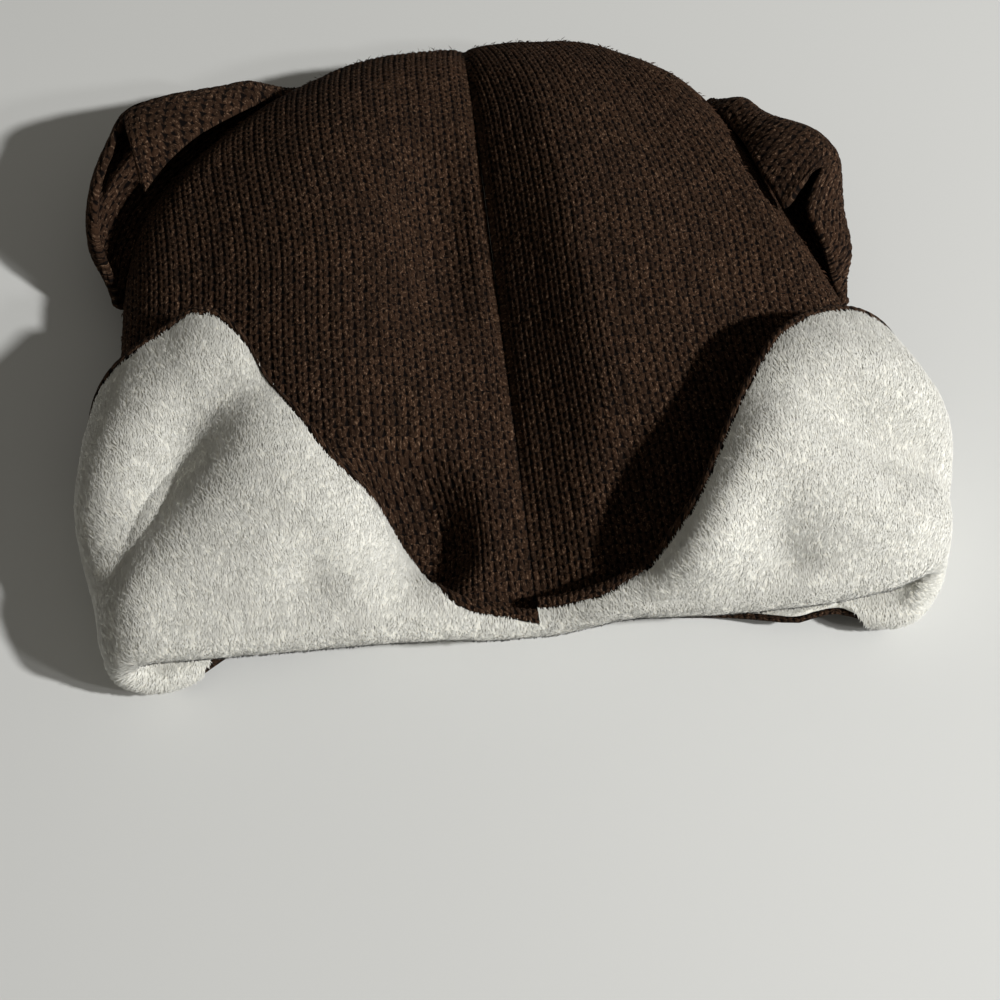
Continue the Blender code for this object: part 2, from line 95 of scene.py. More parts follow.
# The turned-up edge from the centre back (0) round the side (0.5) to the centre front (1)
FLAP_COLUMNS = ("around", "length_left", "length_right", "stand_left", "stand_right",
                "dome_left", "dome_right", "mouth_left", "mouth_right")
FLAP_TABLE = (
    (0.000, -0.015, 0.030, 0.00, 0.00, 0.00, 0.00, 0.00, 0.00),
    (0.035, 0.010, 0.025, 0.00, 0.00, 0.00, 0.00, 0.00, 0.00),
    (0.070, 0.052, 0.045, 0.01, 0.02, 0.00, 0.00, 0.00, 0.05),
    (0.105, 0.180, 0.110, 0.06, 0.10, 0.02, 0.02, 0.00, 0.15),
    (0.135, 0.350, 0.260, 0.09, 0.24, 0.06, 0.06, 0.00, 0.25),
    (0.165, 0.510, 0.470, 0.10, 0.30, 0.09, 0.10, 0.00, 0.30),
    (0.200, 0.730, 0.710, 0.10, 0.32, 0.12, 0.15, 0.00, 0.35),
    (0.235, 0.930, 0.870, 0.10, 0.31, 0.14, 0.20, 0.00, 0.35),
    (0.270, 1.000, 0.945, 0.10, 0.29, 0.14, 0.23, 0.00, 0.30),
    (0.300, 0.975, 0.980, 0.10, 0.26, 0.13, 0.24, 0.00, 0.25),
    (0.350, 0.920, 1.000, 0.10, 0.20, 0.12, 0.22, 0.00, 0.10),
    (0.410, 0.850, 0.950, 0.10, 0.14, 0.12, 0.17, 0.00, -0.25),
    (0.460, 0.750, 0.840, 0.09, 0.10, 0.11, 0.13, 0.00, -0.45),
    (0.500, 0.640, 0.700, 0.05, 0.05, 0.07, 0.07, 0.00, -0.45),
    (0.560, 0.420, 0.440, 0.00, 0.00, 0.00, 0.00, 0.15, 0.00),
    (0.600, 0.220, 0.230, 0.00, 0.00, 0.00, 0.00, 0.20, 0.40),
    (0.640, 0.010, 0.012, 0.00, 0.00, 0.00, 0.00, 0.15, 0.55),
    (0.690, 0.010, 0.012, 0.00, 0.00, 0.00, 0.00, -0.10, 0.45),
    (0.760, 0.010, 0.012, 0.00, 0.00, 0.00, 0.00, -0.85, 0.00),
    (0.850, 0.010, 0.012, 0.00, 0.00, 0.00, 0.00, -1.25, -0.80),
    (1.000, 0.010, 0.012, 0.00, 0.00, 0.00, 0.00, -1.20, -1.20),
)
# The edge is turned up fully as far as the first of these, lies open from the second and is a
# plain hem from the third. The fold takes no more than the last's share of the cloth.
TURN_FULL = 0.640
TURN_GONE = 0.720
HEM_FULL = 0.780
TURN_LIMIT = 0.85

# Dents of the flaps and of the crown. Out and up are the dent's middle: on a flap as shares of the
# way round and of its length, on the crown of the half's width and of its length. Run is its
# direction from level, in degrees; long, wide and deep are shares of the crown's height. Edge is
# how steep its walls are: 1 soft, 2 steep.
DENT_COLUMNS = ("side", "out", "up", "run", "long", "wide", "deep", "edge")
FLAP_DENTS = (
    (-1, 0.330, 0.48, 45.0, 0.95, 0.27, 0.21, 1.0),
    (-1, 0.175, 0.16, 80.0, 0.35, 0.18, 0.08, 1.0),
    (1, 0.335, 0.47, 25.0, 0.66, 0.26, 0.29, 1.3),
    (1, 0.205, 0.17, 70.0, 0.40, 0.18, 0.09, 1.0),
)
CROWN_DENTS = (
    (-1, 0.285, 0.14, 78.0, 0.46, 0.38, 0.38, 1.8),
    (-1, 0.135, 0.60, 88.0, 0.76, 0.27, 0.18, 1.3),
    (1, 0.260, 0.13, 100.0, 0.44, 0.22, 0.14, 1.0),
)

# Where the hat lies: the origin is on the table, under the middle of its box
PLACE = np.array((0.000925, -0.078884, 0.000004))


def column(table, names, name):
    return np.array([row[names.index(name)] for row in table], float)


def smooth_curve(knots, values, at, end_slope=None):
    """A smooth curve through the values at rising knots."""
    steps = np.diff(knots)
    slopes = np.diff(values) / steps
    tangents = np.empty_like(values)
    tangents[1:-1] = (slopes[1:] * steps[:-1] + slopes[:-1] * steps[1:]) / (steps[1:] + steps[:-1])
    tangents[0] = slopes[0]
    tangents[-1] = slopes[-1] if end_slope is None else end_slope
    at = np.clip(at, knots[0], knots[-1])
    i = np.clip(np.searchsorted(knots, at, side="right") - 1, 0, len(steps) - 1)
    h = steps[i]
    t = (at - knots[i]) / h
    return (
        (2 * t**3 - 3 * t**2 + 1) * values[i]
        + (t**3 - 2 * t**2 + t) * h * tangents[i]
        + (3 * t**2 - 2 * t**3) * values[i + 1]
        + (t**3 - t**2) * h * tangents[i + 1]
    )


def ease(share):
    share = np.clip(share, 0.0, 1.0)
    return share * share * (3 - 2 * share)


def crown_column(name, up):
    knots = np.linspace(0.0, 1.0, len(CROWN_TABLE))
    end_slope = 0.0 if name == "along" else None
    return smooth_curve(knots, column(CROWN_TABLE, CROWN_COLUMNS, name), up, end_slope)


def flap_column(name, around):
    knots = column(FLAP_TABLE, FLAP_COLUMNS, "around")
    return smooth_curve(knots, column(FLAP_TABLE, FLAP_COLUMNS, name), around)


def cloth_stack():
    return KNIT + LAYER_GAP + FLEECE


def dents(table, side, out, up, width, length):
    """How deep the dents are at places given as shares of a width and a length."""
    depth = np.zeros_like(out + up)
    for row in table:
        dent = dict(zip(DENT_COLUMNS, row))
        if dent["side"] != side:
            continue
        off, rise = (out - dent["out"]) * width, (up - dent["up"]) * length
        turn = math.radians(dent["run"])
        lengthways = (off * math.cos(turn) - rise * math.sin(turn)) / (dent["long"] * CROWN_HEIGHT)
        crossways = (off * math.sin(turn) + rise * math.cos(turn)) / (dent["wide"] * CROWN_HEIGHT)
        depth += dent["deep"] * CROWN_HEIGHT * np.exp(-(lengthways**2 + crossways**2) ** dent["edge"])
    return depth


def crown_point(side, around, up):
    """The crown's outside: around from the centre back (0) to the centre front (1), up from the
    mouth (0) to the top (1)."""
    around, up = np.broadcast_arrays(np.asarray(around, float), np.asarray(up, float))
    word, ridge_at = WORDS[side], RIDGE_AT[side]
    half = HALF_WIDTH[side] * crown_column(word, up)
    across = np.sin(math.pi * around)
    floor = CROWN_HEIGHT * crown_column("floor", up)
    seam = CROWN_HEIGHT * crown_column("seam", up)
    ridge = CROWN_HEIGHT * crown_column("ridge_" + word, up)
    groove = GROOVE_DEPTH * crown_column("groove", up) * np.exp(-across * half / GROOVE_WIDTH)
    fall = (ridge - floor) * crown_column("fall", up)
    top = seam + (ridge - seam) * ease(across / ridge_at) - groove
    top = top - fall * ease((across - ridge_at) / (1 - ridge_at))
    heel = (2 * FOLD_RADIUS + cloth_stack() + BORDER_RISE) * crown_column("heel", up)
    side_height = ridge - fall - floor - heel
    middle = floor + heel + SIDE_HEIGHT * side_height
    bottom = floor + heel * ease((across - HEEL_FROM) / (HEEL_TO - HEEL_FROM))
    rounding = np.maximum(ROUNDING * side_height / 2, 1e-6)
    into = np.clip(1 - half * (1 - across) / rounding, 0, 1)
    cap = np.sqrt(1 - into**2)
    height = middle + np.where(around <= 0.5, top - middle, bottom - middle) * cap
    along = crown_column("along", up)
    dent = dents(CROWN_DENTS, side, across, along, half, CROWN_LENGTH)
    height = height - np.where(around <= 0.5, dent, 0.0)
    ahead = MOUTH_REACH * flap_column("mouth_" + word, around) * (1 - ease(along / MOUTH_BLEND))
    x = side * (SEAM_CLOSE / 2 + half * across)
    return np.stack([x, CROWN_LENGTH * along - ahead, height], axis=-1)


def unit(vectors):
    return vectors / np.maximum(np.linalg.norm(vectors, axis=-1, keepdims=True), 1e-12)


def crown_frame(side, around, up):
    """Point, outward normal and the direction to the top."""
    step = 2e-3
    here = crown_point(side, around, up)
    low, high = np.clip(around - step, 0, 1), np.clip(around + step, 0, 1)
    below, above = np.clip(up - step, 0, 1), np.clip(up + step, 0, 1)
    round_it = crown_point(side, high, up) - crown_point(side, low, up)
    to_top = crown_point(side, around, above) - crown_point(side, around, below)
    normal = np.cross(to_top, round_it) * -side
    on_seam = (np.asarray(around) < step) | (np.asarray(around) > 1 - step)
    normal[..., 0] = np.where(on_seam, 0.0, normal[..., 0])
    return here, unit(normal), unit(to_top)


def up_at(distance):
    shares = np.linspace(0.0, 1.0, 400)
    return np.interp(distance, CROWN_LENGTH * crown_column("along", shares), shares)


def front_share(around):
    return ease((np.asarray(around) - TURN_FULL) / (TURN_GONE - TURN_FULL))


def flap_length(side, around):
    """The cloth past the fold: brim and flap where it is turned, hem at the front."""
    turned = FLAP_SIZE[side] * flap_column("length_" + WORDS[side], around)
    hem = ease((np.asarray(around) - TURN_GONE) / (HEM_FULL - TURN_GONE))
    return turned + (FRONT_HEM - turned) * hem


def turn_radius():
    return FOLD_RADIUS + cloth_stack() / 2


def turn_angle(around):
    return math.pi * (1 - front_share(around))


def stand_off(side, around, along, length):
    """How far the flap stands off the crown, past the fold's own gap."""
    share = np.clip(along / length, 0, 1.2)
    stand = CROWN_HEIGHT * flap_column("stand_" + WORDS[side], around)
    dome = CROWN_HEIGHT * flap_column("dome_" + WORDS[side], around)
    lift = stand * ease(share * 1.3) + dome * 4 * share * (1 - share)
    girth = math.pi * (HALF_WIDTH[-1] + HALF_WIDTH[1]) / 3
    dent = dents(FLAP_DENTS, side, around, along / FLAP_SIZE[side], girth, FLAP_SIZE[side])
    return np.maximum(lift - dent * ease(lift / (0.12 * CROWN_HEIGHT)), 0.0)


def turned_surface(side, around, path):
    """The knit's outside past the mouth line, at a distance along the cloth from there."""
    angle = turn_angle(around)
    arc = turn_radius() * angle
    phi = np.minimum(path / turn_radius(), angle)
    past = np.maximum(path - arc, 0.0)
    back_share = -np.cos(angle)
    followed = past * back_share
    here, normal, to_top = crown_frame(side, around, up_at(np.maximum(followed, 0.0)))
    here = here + to_top * np.minimum(followed, 0.0)[..., None]
    length = np.maximum(flap_length(side, around), 1e-4)
    stand = stand_off(side, around, past, length) * np.clip(back_share, 0, 1)
    out = FOLD_RADIUS * (1 - np.cos(phi)) + stand + past * np.sin(angle)
    return here + normal * out[..., None] - to_top * (FOLD_RADIUS * np.sin(phi))[..., None]


def turned_point(side, around, path, depth):
    """Point past the mouth line at a depth from the knit's outside, and the outward normal."""
    step = 4e-4
    here = turned_surface(side, around, path)
    low, high = np.clip(around - step, 0, 1), np.clip(around + step, 0, 1)
    round_it = turned_surface(side, high, path) - turned_surface(side, low, path)
    onward = turned_surface(side, around, path + step) - turned_surface(side, around, path - step)
    normal = np.cross(onward, round_it) * side
    on_seam = (around < step) | (around > 1 - step)
    normal[..., 0] = np.where(on_seam, 0.0, normal[..., 0])
    normal = unit(normal)
    return here - normal * np.asarray(depth)[..., None], normal


# The knit: one wale is 2.92 mm wide and one course 2.48 mm high, and each loop shows two legs
# that make a V. The grid of the mesh follows the loops.
WALE = 0.00292
COURSE = 0.00248
COLUMNS_A_WALE = 6
ROWS_A_COURSE = 4
FRONT_COLUMNS = 22
TURN_ROWS = 7
FLAP_ROWS = 12
RUN_SAMPLES = 1500
ROUND_SAMPLES = 601
# The last row of the crown ends this far from its top
TOP_GAP = 0.0012
# Past the side, the loops go on for the first of these shares of the front, and the mesh still
# follows them to the second
LOOPS_PAST_SIDE = 0.06
SQUEEZED_TO = 0.45
# One leg of a loop, in wales and courses: its place, lean, half width and half length
LEG_PLACE = 0.22
LEG_LEAN = 0.21
LEG_WIDTH = 0.235
LEG_LENGTH = 1.05
YARN_DEPTH = 0.00062
# How far the flap's plain knit, and the tops of the crown's loops, lie under the hat's outside
PLAIN_DEPTH = 0.0004
LOOPS_DEPTH = 0.00037
SEAM_CREASE = 0.0008
CREASE_WIDTH = 0.0021
# Half of the girth below which the loops fade out, near the top
TOP_GIRTH = 0.05

# The curled border past the fleece's edge: steps along the cloth and depths, in millimetres
BORDER_PROFILE = (
    (0.0, 0.0), (0.8, 0.0), (1.6, 0.05), (2.3, 0.35), (2.8, 0.95), (3.05, 1.75), (2.95, 2.6),
    (2.5, 3.3), (1.8, 3.8), (1.0, 4.0), (0.35, 3.85), (0.08, 3.6),
)
CURL_DEPTH = 4.0
# The ribs are carved towards the middle of the curl
CURL_MIDDLE = (1.3, 1.9)
CURL_RADIUS = 2.2
RIB_DEPTH = 0.00042


def unevenness(places, size, seed):
    """Smooth noise from -1 to 1 at places in space, with swells about one size across."""
    lattice = np.random.default_rng(seed).uniform(-1, 1, (32, 32, 32))
    cell = np.asarray(places) / size
    base = np.floor(cell).astype(int)
    t = ease(cell - base)
    total = 0.0
    for corner in np.ndindex(2, 2, 2):
        weight = np.prod([t[..., k] if corner[k] else 1 - t[..., k] for k in range(3)], axis=0)
        i, j, k = [(base[..., n] + corner[n]) % 32 for n in range(3)]
        total = total + weight * lattice[i, j, k]
    return total


def stitch_height(wales, courses):
    """0 in the gaps between the loops, 1 on top of the yarn."""
    across = np.abs(wales - np.floor(wales) - 0.5)
    along = courses - np.floor(courses) - 0.5
    off = (across - LEG_PLACE - LEG_LEAN * along) / LEG_WIDTH
    return np.sqrt(np.clip(1 - off**2 - (along / LEG_LENGTH) ** 2, 0, 1))


def running_length(line, axis):
    steps = np.linalg.norm(np.diff(line, axis=axis), axis=-1)
    return np.insert(np.cumsum(steps, axis=axis), 0, 0.0, axis=axis)


def crown_run(side):
    """Distances along the cloth from the mouth, at even shares of the way up."""
    return running_length(crown_point(side, 0.25, np.linspace(0.0, 1.0, RUN_SAMPLES)), 0)


def crown_rows(side, distances):
    """Shares of the way up at distances along the cloth from the mouth."""
    return np.interp(distances, crown_run(side), np.linspace(0.0, 1.0, RUN_SAMPLES))


def turned_paths(side, around, turn_rows, flap_rows, short):
    """Distances past the mouth line of the rows round the fold and up the flap, and of the cloth's
    end, which stops short of the whole."""
    arc = turn_radius() * turn_angle(around)
    total = arc + flap_length(side, around)
    turned = np.minimum(arc + front_share(around) * FRONT_HEM / 2, total * TURN_LIMIT)
    end = np.maximum(total - short, turned)
    paths = [turned * i / turn_rows for i in range(1, turn_rows + 1)]
    paths += [turned + (end - turned) * i / flap_rows for i in range(1, flap_rows + 1)]
    return paths, end


def wale_fan(side, up):
    """How the wales bend near the top: how much of the cloth the seam has taken in, and how much
    closer the wales lie there."""
    if side < 0:
        return 0.002 * ease((up - 0.7) / 0.3), 1 + 0.05 * ease((up - 0.6) / 0.4)
    return 0.009 * ease((up - 0.6) / 0.4), 1 + 0.32 * ease((up - 0.38) / 0.5)


def closed_faces(n_rows, n_columns, rows, columns, flip):
    """Faces of a closed cloth: a dense grid, a coarse one behind it made at some of its rows and
    columns, the rims between them, and the two points where each meets at the top."""
    second = n_rows * n_columns
    n_coarse = len(columns)
    front_top = second + len(rows) * n_coarse
    back_top = front_top + 1
    start = np.arange(n_rows - 1)[:, None] * n_columns + np.arange(n_columns - 1)[None, :]
    start = start.ravel()
    faces = np.stack([start, start + n_columns, start + n_columns + 1, start + 1], 1).tolist()
    faces += [[front_top, c, c + 1] for c in range(n_columns - 1)]

    def back(i, k):
        return second + i * n_coarse + k

    for i in range(len(rows) - 1):
        for k in range(n_coarse - 1):
            faces.append([back(i, k), back(i, k + 1), back(i + 1, k + 1), back(i + 1, k)])
    faces += [[back_top, back(0, k + 1), back(0, k)] for k in range(n_coarse - 1)]
    last = n_columns - 1
    for i in range(len(rows) - 1):
        between = range(rows[i], rows[i + 1] + 1)
        faces.append([back(i, 0), back(i + 1, 0)] + [r * n_columns for r in reversed(between)])
        faces.append([back(i + 1, n_coarse - 1), back(i, n_coarse - 1)]
                     + [r * n_columns + last for r in between])
    faces.append([back_top, back(0, 0), 0, front_top])
    faces.append([front_top, last, back(0, n_coarse - 1), back_top])
    low, end = (n_rows - 1) * n_columns, len(rows) - 1
    for k in range(n_coarse - 1):
        between = range(columns[k], columns[k + 1] + 1)
        faces.append([back(end, k), back(end, k + 1)] + [low + c for c in reversed(between)])
    return [face[::-1] for face in faces] if flip else faces


def cloth_object(name, points, faces, uv, values):
    """A mesh with the stitches' own UV map and point values that its material reads."""
    mesh = bpy.data.meshes.new(name)
    mesh.from_pydata(points.tolist(), [], faces)
    corners = np.empty(len(mesh.loops), int)
    mesh.loops.foreach_get("vertex_index", corners)
    layer = mesh.uv_layers.new(name="stitches")
    layer.data.foreach_set("uv", uv[corners].ravel())
    for key, value in values.items():
        mesh.attributes.new(key, "FLOAT", "POINT").data.foreach_set("value", value)
    mesh.shade_smooth()
    mesh.set_sharp_from_angle(angle=math.radians(75))
    obj = bpy.data.objects.new(name, mesh)
    bpy.context.scene.collection.objects.link(obj)
    return obj


def closed_cloth(name, side, grid, back, stitches, some_rows, some_columns, depths, top_stitch,
                 flip, plain=()):
    """A closed sheet: a dense grid that shows, a coarse one behind it, and the top of the crown at
    two depths."""
    behind = back[[min(row, len(back) - 1) for row in some_rows]][:, some_columns]
    tops = [crown_point(side, 0.0, 1.0) - (0, depth, 0) for depth in depths]
    points = np.concatenate([grid.reshape(-1, 3), behind.reshape(-1, 3), tops]) + PLACE
    behind_stitches = stitches[some_rows][:, some_columns]
    uv = np.concatenate([stitches.reshape(-1, 2), behind_stitches.reshape(-1, 2), [top_stitch] * 2])
    faces = closed_faces(len(grid), grid.shape[1], some_rows, some_columns, flip)
    values = {}
    if len(plain):
        values["plain"] = np.append(plain, np.ones(len(points) - len(plain)))
    return cloth_object(name, points, faces, uv, values)


def knit_grid(side):
    """The crown's grid, which follows the loops. For its rows: distance and share of the way up,
    and girth. For its points: distance and share of the way round, and wale. Last, how many
    columns show loops."""
    distances = np.arange(0.0, crown_run(side)[-1] - TOP_GAP, COURSE / ROWS_A_COURSE)[::-1, None]
    ups = crown_rows(side, distances)
    samples = np.linspace(0.0, 1.0, ROUND_SAMPLES)
    runs = running_length(crown_point(side, samples, ups), 1)
    to_side, girth = runs[:, ROUND_SAMPLES // 2, None], runs[:, -1:]
    taken, closer = wale_fan(side, ups)
    reach = to_side + LOOPS_PAST_SIDE * (girth - to_side)
    far = to_side + SQUEEZED_TO * (girth - to_side)
    n_loops = int(np.ceil(np.max(taken + closer * reach) / WALE * COLUMNS_A_WALE))
    place = (np.arange(n_loops + 1) * WALE / COLUMNS_A_WALE - taken) / closer
    place = np.maximum(place, np.arange(n_loops + 1) * 3e-6)
    squeeze = (far - reach) / np.maximum(place[:, -1:] - reach, far - reach)
    place = np.where(place > reach, reach + (place - reach) * squeeze, place)
    rest = np.arange(1, FRONT_COLUMNS + 1) / FRONT_COLUMNS
    place = np.concatenate([place, place[:, -1:] + (girth - place[:, -1:]) * rest], 1)
    around = np.array([np.interp(p, r, samples) for p, r in zip(place, runs)])
    return distances, ups, girth, place, around, (taken + closer * place) / WALE, n_loops


def border_rows(side, around, total, ribs):
    """The curled border past the fleece's edge, with its ribs: a plain narrow edge at the front."""
    front = front_share(around)
    narrow = 1 + (FRONT_BORDER / KNIT_BORDER - 1) * front
    shallow = 1 + (KNIT * 1000 / CURL_DEPTH - 1) * front
    rows = []
    for i, (along, deep) in enumerate(BORDER_PROFILE[1:], 1):
        level = i / (len(BORDER_PROFILE) - 1)
        carve = RIB_DEPTH * ribs * math.sin(math.pi * min(1.0, level * 1.15)) * (1 - front)
        path = total + along * 0.001 * narrow - carve * (along - CURL_MIDDLE[0]) / CURL_RADIUS
        depth = deep * 0.001 * shallow - carve * (deep - CURL_MIDDLE[1]) / CURL_RADIUS
        rows.append(turned_point(side, around, path, depth)[0])
    return rows


def knit_half(name, side):
    """One half of the outer hat, and its crown's grid and normals for the loose fibres."""
    distances, ups, girth, place, around, wales, n_loops = knit_grid(side)
    here, normal, _ = crown_frame(side, around, ups)
    courses = np.broadcast_to(distances / COURSE, place.shape)
    # Where loops are modelled: not at the front, in the seam or right at the top
    fine = np.ones(place.shape)
    fine[:, n_loops + 1:] = 0.0
    fine[:, n_loops - 6:n_loops + 1] = np.linspace(1, 0, 7)
    fine = fine * ease(girth / TOP_GIRTH) * ease(place / 0.0012)
    sideways, upwards = unevenness(here, 0.006, 11 + side), unevenness(here, 0.0035, 21 + side)
    loops = stitch_height(wales + 0.06 * sideways, courses + 0.16 * upwards)
    swell = unevenness(here, 0.014, 31 + side) * 0.00025
    swell = swell + unevenness(here, 0.0028, 41 + side) * 0.00012
    pressed = YARN_DEPTH * (fine * (1 - loops) + (1 - fine) * 0.4)
    pressed = pressed + (LOOPS_DEPTH + swell) * ease(place / 0.004)
    crease = SEAM_CREASE * np.exp(-(place / CREASE_WIDTH) ** 2) * ease(girth / TOP_GIRTH)
    crown = here - normal * (pressed + crease)[..., None]

    edge = around[-1]
    paths, total = turned_paths(side, edge, TURN_ROWS, FLAP_ROWS, 0.0)
    turned = [turned_point(side, edge, path, PLAIN_DEPTH) for path in paths]
    ribs = 1 - np.abs(np.sin(2 * math.pi * (wales[-1] + 0.04 * sideways[-1]))) ** 0.6
    rows = [point for point, _ in turned] + border_rows(side, edge, total, ribs)
    backs = [point - out * (KNIT - PLAIN_DEPTH) for point, out in turned]
    backs.append(turned_point(side, edge, total + 0.0003, KNIT)[0])
    further = [-path / COURSE for path in paths]
    further += [-(total / COURSE) - i * 0.35 for i in range(1, len(BORDER_PROFILE))]

    grid = np.concatenate([crown, rows])
    back = np.concatenate([here - normal * KNIT, backs])
    stitches = np.stack([np.concatenate([wales, np.repeat(wales[-1:], len(rows), axis=0)]),
                         np.concatenate([courses, further])], -1)
    n_crown, n_columns = place.shape
    some_rows = sorted(set(range(0, n_crown, 6)) | {n_crown - 1})
    some_rows += list(range(n_crown, n_crown + len(paths))) + [len(grid) - 1]
    some_columns = set(range(0, n_loops, 8)) | set(range(n_loops, n_columns, 4))
    some_columns = sorted(some_columns | {n_columns - 1})
    obj = closed_cloth(name, side, grid, back, stitches, some_rows, some_columns, (PLAIN_DEPTH, KNIT),
                       (0.0, crown_run(side)[-1] / COURSE), side < 0, 1 - fine.ravel())
    # The top rows, where the columns crowd, have no loose fibres
    return obj, crown[8:, :n_loops] + PLACE, normal[8:, :n_loops]


def linear(hex_colour):
    """A colour written as sRGB hex, as the linear values that a shader takes."""
    parts = [int(hex_colour[i:i + 2], 16) / 255 for i in (1, 3, 5)]
    return tuple(c / 12.92 if c <= 0.04045 else ((c + 0.055) / 1.055) ** 2.4 for c in parts) + (1.0,)


def add(material, kind, inputs=(), **settings):
    """Adds one shader node with its settings, and sets or links its inputs."""
    node = material.node_tree.nodes.new(kind)
    for key, value in settings.items():
        setattr(node, key, value)
    for key, value in dict(inputs).items():
        if isinstance(value, bpy.types.NodeSocket):
            material.node_tree.links.new(value, node.inputs[key])
        else:
            node.inputs[key].default_value = value
    return node


def new_material(name, **inputs):
    """A material whose shader has these constants on its inputs."""
    material = bpy.data.materials.new(name)
    material.use_nodes = True
    shader = material.node_tree.nodes["Principled BSDF"]
    for key, value in inputs.items():
        shader.inputs[key.replace("_", " ")].default_value = value
    return material, shader


# Dark brown wool, machine knitted in stockinette. The eye gets two matt yarn legs for each loop,
# with painted shade, nearly black, in the gaps between them, and light flecks that are painted
# highlights where single fibres stand off and catch the light.
wool, shader = new_material("dark brown wool, machine knitted", Roughness=0.92, Sheen_Weight=0.05,
                            Sheen_Roughness=0.5, Sheen_Tint=linear("#8d7462"),
                            Specular_IOR_Level=0.1)
stitches = add(wool, "ShaderNodeUVMap", uv_map="stitches")
drift = add(wool, "ShaderNodeTexNoise", {"Vector": stitches.outputs["UV"], "Scale": 0.9, "Detail": 2.0})
moved = add(wool, "ShaderNodeVectorMath", {0: drift.outputs["Color"], 1: (0.5, 0.5, 0.5)},
            operation="SUBTRACT")
moved = add(wool, "ShaderNodeVectorMath",
            {0: moved.outputs[0], 1: (0.34, 0.8, 0.0), 2: stitches.outputs["UV"]},
            operation="MULTIPLY_ADD")
split = add(wool, "ShaderNodeSeparateXYZ", {0: moved.outputs[0]})
across = add(wool, "ShaderNodeMath", {0: split.outputs["X"]}, operation="FRACT")
across = add(wool, "ShaderNodeMath", {0: across.outputs[0], 1: 0.5}, operation="SUBTRACT")
across = add(wool, "ShaderNodeMath", {0: across.outputs[0]}, operation="ABSOLUTE")
along = add(wool, "ShaderNodeMath", {0: split.outputs["Y"]}, operation="FRACT")
along = add(wool, "ShaderNodeMath", {0: along.outputs[0], 1: 0.5}, operation="SUBTRACT")
lean = add(wool, "ShaderNodeMath", {0: along.outputs[0], 1: -LEG_LEAN, 2: -LEG_PLACE},
           operation="MULTIPLY_ADD")
off = add(wool, "ShaderNodeMath", {0: across.outputs[0], 1: lean.outputs[0]}, operation="ADD")
off = add(wool, "ShaderNodeMath", {0: off.outputs[0], 1: LEG_WIDTH}, operation="DIVIDE")
off = add(wool, "ShaderNodeMath", {0: off.outputs[0], 1: 2.0}, operation="POWER")
down = add(wool, "ShaderNodeMath", {0: along.outputs[0], 1: LEG_LENGTH}, operation="DIVIDE")
down = add(wool, "ShaderNodeMath", {0: down.outputs[0], 1: 2.0}, operation="POWER")
leg = add(wool, "ShaderNodeMath", {0: 1.0, 1: off.outputs[0]}, operation="SUBTRACT")
leg = add(wool, "ShaderNodeMath", {0: leg.outputs[0], 1: down.outputs[0]}, operation="SUBTRACT",
          use_clamp=True)
leg = add(wool, "ShaderNodeMath", {0: leg.outputs[0]}, operation="SQRT")
# Fibres are 0.02 mm thick, too fine to show, and are drawn as flecks of about 0.4 mm. The light
# flecks are painted highlights, for the light that fibres standing off the yarn catch.
drawn = add(wool, "ShaderNodeVectorMath", {0: moved.outputs[0], 1: (1.5, 0.75, 1.0)}, operation="MULTIPLY")
fibres = add(wool, "ShaderNodeTexNoise", {"Vector": drawn.outputs[0], "Scale": 4.6, "Detail": 5.0,
                                          "Roughness": 0.7})
fibre_highlights = add(wool, "ShaderNodeMapRange",
                   {"Value": fibres.outputs["Fac"], "From Min": 0.54, "From Max": 0.70})
place = add(wool, "ShaderNodeTexCoord")
patches = add(wool, "ShaderNodeTexNoise",
              {"Vector": place.outputs["Object"], "Scale": 55.0, "Detail": 3.0})
yarn = add(wool, "ShaderNodeMix",
           {0: patches.outputs["Fac"], "A": linear("#281a12"), "B": linear("#362519")},
           data_type="RGBA")
# Painted highlight: the flecks are mixed in as a light tan, far lighter than the fibres' own brown
yarn = add(wool, "ShaderNodeMix",
           {0: fibre_highlights.outputs[0], "A": yarn.outputs["Result"], "B": linear("#866c57")},
           data_type="RGBA")
# Each leg is drawn a little lighter or darker than the next
each = add(wool, "ShaderNodeVectorMath", {0: moved.outputs[0], 1: (2.0, 1.0, 1.0)}, operation="MULTIPLY")
each = add(wool, "ShaderNodeVectorMath", {0: each.outputs[0]}, operation="FLOOR")
each = add(wool, "ShaderNodeTexWhiteNoise", {"Vector": each.outputs[0]}, noise_dimensions="2D")
each = add(wool, "ShaderNodeMapRange", {"Value": each.outputs["Value"], "To Min": 0.62, "To Max": 1.3})
yarn = add(wool, "ShaderNodeVectorMath", {0: yarn.outputs["Result"], 1: each.outputs[0]},
           operation="MULTIPLY")
# Painted shade: the gaps between the legs are mixed to nearly black, for the shade in the hollows between
# the loops
lit = add(wool, "ShaderNodeMapRange", {"Value": leg.outputs[0], "From Min": 0.12, "From Max": 0.8})
yarn = add(wool, "ShaderNodeMix", {0: lit.outputs[0], "A": linear("#080403"), "B": yarn.outputs[0]},
           data_type="RGBA")
plain = add(wool, "ShaderNodeAttribute", attribute_name="plain")
# The legs stand up by 0.12 mm where the mesh has loops, and by 0.62 mm where it is plain
rise = add(wool, "ShaderNodeMath", {0: plain.outputs["Fac"], 1: 0.0005, 2: 0.00012},
           operation="MULTIPLY_ADD")
rise = add(wool, "ShaderNodeMath", {0: leg.outputs[0], 1: rise.outputs[0]}, operation="MULTIPLY")
rise = add(wool, "ShaderNodeMath", {0: fibres.outputs["Fac"], 1: 0.00028, 2: rise.outputs[0]},
           operation="MULTIPLY_ADD")
bump = add(wool, "ShaderNodeBump", {"Height": rise.outputs[0], "Distance": 1.0, "Strength": 1.0})
wool.node_tree.links.new(yarn.outputs["Result"], shader.inputs["Base Color"])
wool.node_tree.links.new(bump.outputs[0], shader.inputs["Normal"])


